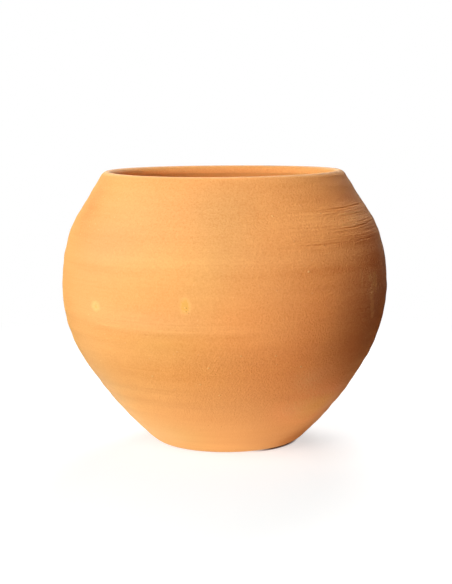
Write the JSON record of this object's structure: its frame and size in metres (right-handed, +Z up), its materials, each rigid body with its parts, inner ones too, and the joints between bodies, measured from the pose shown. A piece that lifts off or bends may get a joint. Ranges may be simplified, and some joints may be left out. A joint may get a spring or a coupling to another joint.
{
  "type": "ball planter",
  "caption": "Round-bellied terracotta pot for plants, open at the top, with a straight shoulder, a rounded lip, a flat foot and a drain hole through its floor.",
  "frame": {"origin": "centre of the flat foot, on the plane that the pot stands on", "axes": "+Z up along the axis on which the pot was thrown; X and Y are alike on the solid, and +X is the right of the picture's view, which looks along +Y"},
  "size_m": [0.3999, 0.4, 0.335],
  "materials": {
    "terracotta": "unglazed fired clay, matt, with fine grit"
  },
  "bodies": {
    "root": {"pot": "terracotta"}
  },
  "joints": []
}
